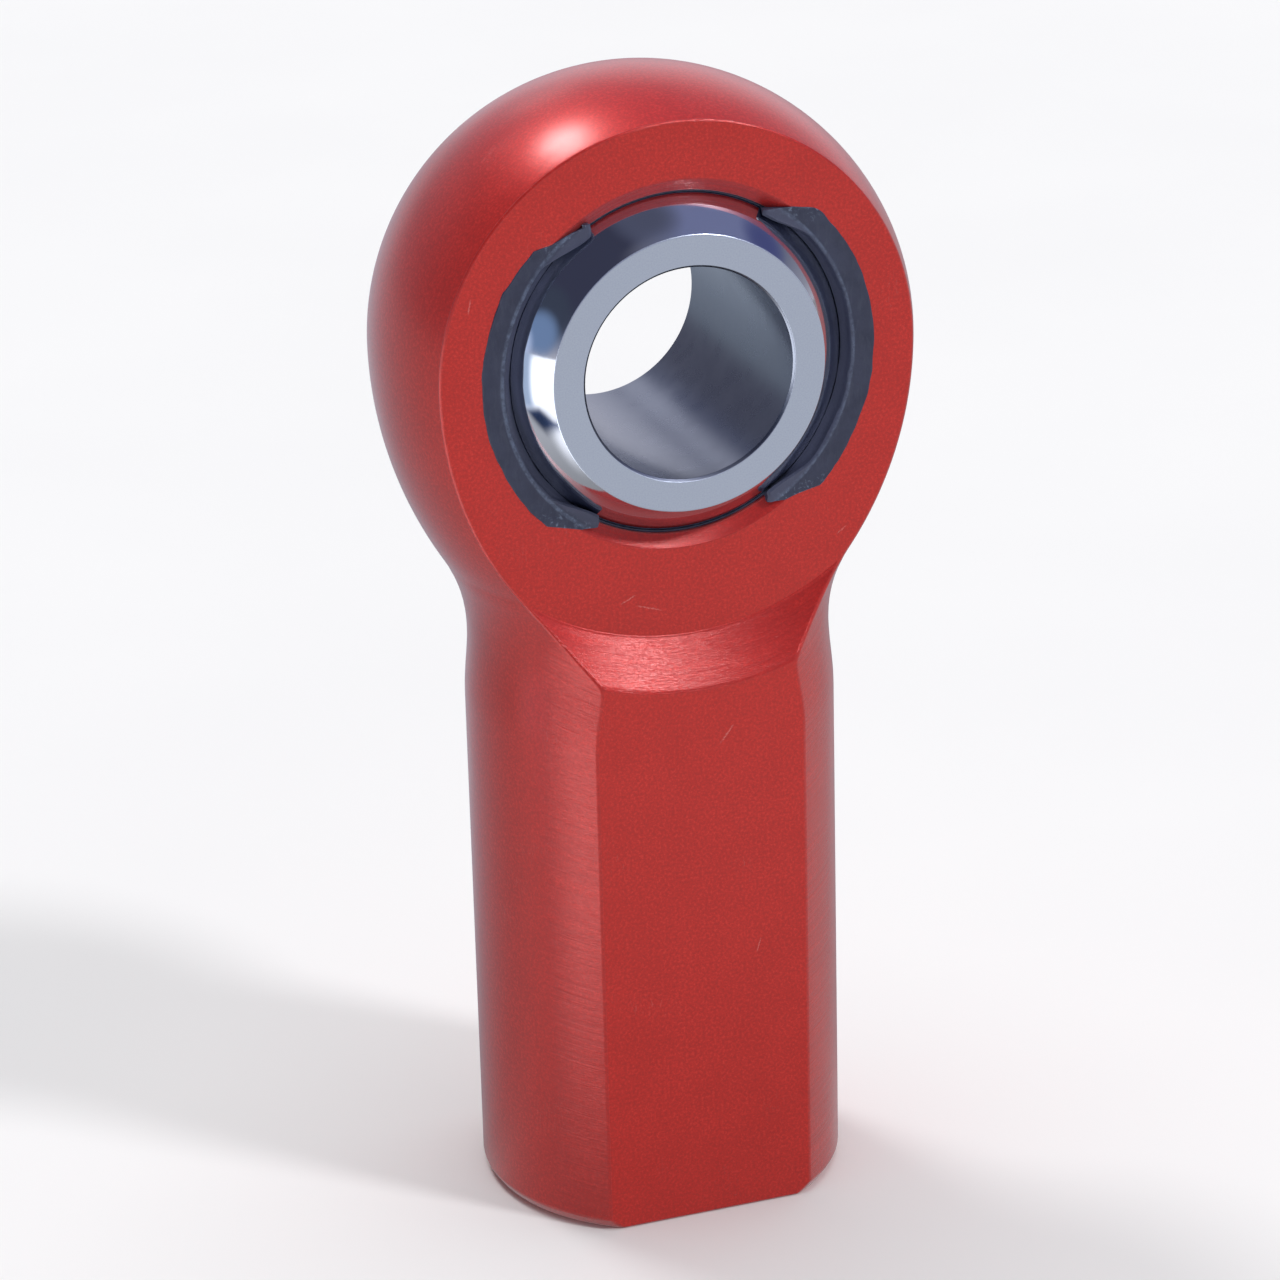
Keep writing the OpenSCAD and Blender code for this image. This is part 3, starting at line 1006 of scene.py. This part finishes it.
# azimuth, elevation, radius of the full colour, radius where it ends (degrees), colour
PATCHES = [
    (-122, 22, 18, 40, (0.085, 0.085, 0.11)),
    (-66, 50, 22, 44, (0.050, 0.052, 0.085)),   # dark corner, upper left
    (-78, 20, 10, 18, (0.055, 0.065, 0.095)),
    (4, 46, 2, 30, (0.26, 0.26, 0.32)),
    (-79, 10, 6, 14, (0.20, 0.29, 0.46)),       # a window and its frame
    (-93, 3, 4, 12, (0.62, 0.72, 0.95)),
    (76, 52, 8, 40, (0.20, 0.215, 0.36)),       # steel-blue ceiling, right
    (90, 30, 1, 14, (0.08, 0.09, 0.22)),
    (20, 84, 2, 20, (0.095, 0.10, 0.15)),
    (154, 12, 6, 28, (0.74, 0.73, 0.80)),       # pale wall behind
    (179, 27, 1, 9, (0.80, 0.79, 0.86)),
    (-148, 14, 13, 24, (0.13, 0.13, 0.17)),     # and a dark one beside it
]
EVEN_GREY = (0.385, 0.39, 0.405, 1)             # what lights matt surfaces
EVEN_PATCH = (-95, 30, 10, 80, (0.19, 0.195, 0.21))
BACKDROP = (0.93, 0.93, 0.935)                  # what the camera sees


def make_world():
    world = bpy.data.worlds.new("studio")
    bpy.context.scene.world = world
    w = Shader(world)
    view = w.node("ShaderNodeTexCoord", output="Generated")

    def patch(under, azimuth, elevation, inner, outer, colour):
        """Lays a round patch of light or shade over a colour."""
        edges = (math.cos(math.radians(outer)), math.cos(math.radians(inner)))
        amount = w.dot(view, direction(azimuth, elevation)).ease(between=edges)
        return w.mix(amount, under, colour)

    height = w.axes(view)[2]
    room = w.node("ShaderNodeValToRGB", {0: height.ramp(between=(0.0, 1.0))})
    stops = room.socket.node.color_ramp.elements
    stops[0].color = ROOM[0][1]
    stops[1].color = ROOM[-1][1]
    for position, colour in ROOM[1:-1]:
        stops.new(position).color = colour
    for entry in PATCHES:
        room = patch(room, *entry)

    even = w.node("ShaderNodeRGB")
    even.socket.default_value = EVEN_GREY
    glossy = w.node("ShaderNodeLightPath", output="Is Glossy Ray")
    lit = w.mix(glossy, patch(even, *EVEN_PATCH), room)
    seen = w.mix(glossy.sibling("Is Camera Ray"), lit, BACKDROP)
    w.surface(w.node("ShaderNodeBackground", {0: seen}), "ShaderNodeOutputWorld")


make_world()

# ---------------------------------------------------------------- camera and render

CAMERA_AZIMUTH, CAMERA_ELEVATION = -19.253, 21.575      # degrees
CAMERA_ROLL = math.radians(-1.504)
CAMERA_DISTANCE = 274.184                               # mm from the ball's centre
CAMERA_RIGHT, CAMERA_UP = -0.010498, -18.12217          # mm off the line to the centre

back = direction(CAMERA_AZIMUTH, CAMERA_ELEVATION)
level_right = Vector((0, 0, 1)).cross(back).normalized()
level_up = back.cross(level_right)
right = level_right * math.cos(CAMERA_ROLL) + level_up * math.sin(CAMERA_ROLL)
up = -level_right * math.sin(CAMERA_ROLL) + level_up * math.cos(CAMERA_ROLL)
place = (CAMERA_RIGHT * right + CAMERA_UP * up + CAMERA_DISTANCE * back) * 0.001

lens = bpy.data.cameras.new("camera")
camera = bpy.data.objects.new("camera", lens)
bpy.context.scene.collection.objects.link(camera)
lens.sensor_width = 36
lens.lens = 130.7525625
lens.clip_start = 0.01
lens.clip_end = 20
camera.matrix_world = Matrix((*zip(right, up, back, place), (0, 0, 0, 1)))

scene = bpy.context.scene
scene.camera = camera
scene.view_settings.view_transform = "Standard"
scene.view_settings.look = "None"
scene.cycles.use_denoising = True
scene.cycles.max_bounces = 10
scene.cycles.glossy_bounces = 6
